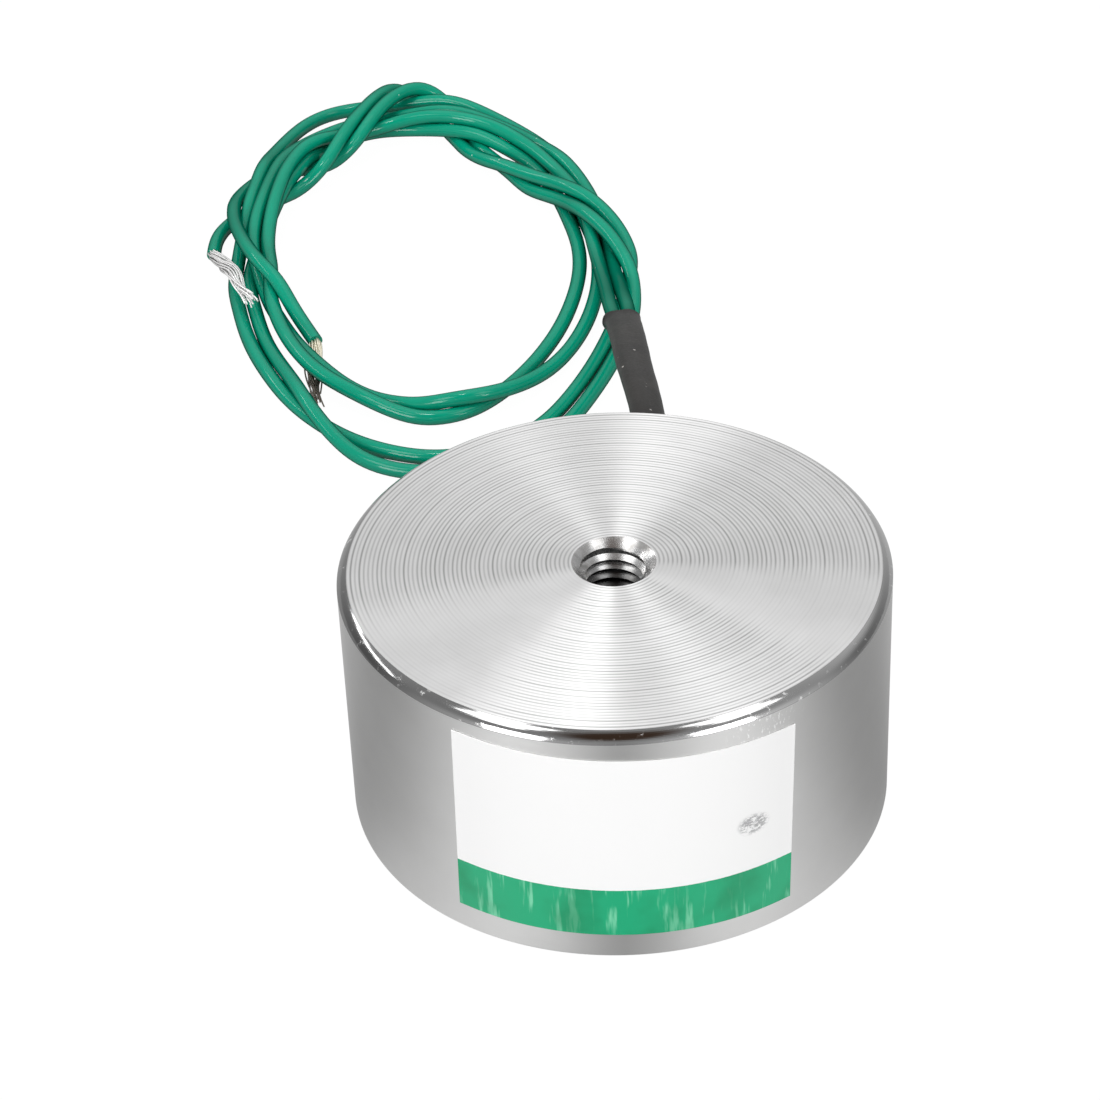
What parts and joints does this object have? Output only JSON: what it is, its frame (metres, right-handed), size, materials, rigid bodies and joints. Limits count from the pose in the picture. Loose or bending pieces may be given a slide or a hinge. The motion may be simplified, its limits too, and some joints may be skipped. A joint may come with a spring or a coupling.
{
  "type": "holding electromagnet",
  "caption": "Round pot-type holding electromagnet with a tapped mounting hole in its top and two free green leads in a short black sleeve.",
  "frame": {"origin": "centre of the holding face, at its level", "axes": "+Z from the holding face up to the top face with the tapped hole, -Y towards the label, +Y towards the lead outlet"},
  "size_m": [0.0574, 0.1268, 0.02],
  "materials": {
    "plated_steel": "bright plated turned steel, fine concentric tool marks on the top face, polished rim",
    "cast_resin": "black casting resin, satin",
    "bobbin_nylon": "natural moulded nylon",
    "enamelled_copper": "enamelled copper wire",
    "winding_tape": "yellow film tape",
    "solder": "soldered joint",
    "splice_tubing": "natural woven insulating tubing",
    "heat_shrink": "matte black shrunk tubing, a little dusty",
    "green_insulation": "green silicone-like insulation, satin to glossy",
    "tinned_strands": "fine tinned copper strands",
    "label_film": "pale film with a green band along its lower edge, slightly wrinkled"
  },
  "bodies": {
    "root": {"pot_housing": "plated_steel", "resin_ring": "cast_resin", "bobbin": "bobbin_nylon", "winding": "enamelled_copper", "winding_tape": "winding_tape", "coil_start_wire": "enamelled_copper", "coil_finish_wire": "enamelled_copper", "solder_joint_a": "solder", "solder_joint_b": "solder", "splice_sleeve_a": "splice_tubing", "splice_sleeve_b": "splice_tubing", "lead_sleeve": "heat_shrink", "lead_a_run": "green_insulation", "lead_b_run": "green_insulation", "lead_coil": "green_insulation", "lead_a_end": "green_insulation", "lead_b_end": "green_insulation", "lead_a_strands": "tinned_strands", "lead_b_strands": "tinned_strands", "label": "label_film"}
  },
  "joints": []
}
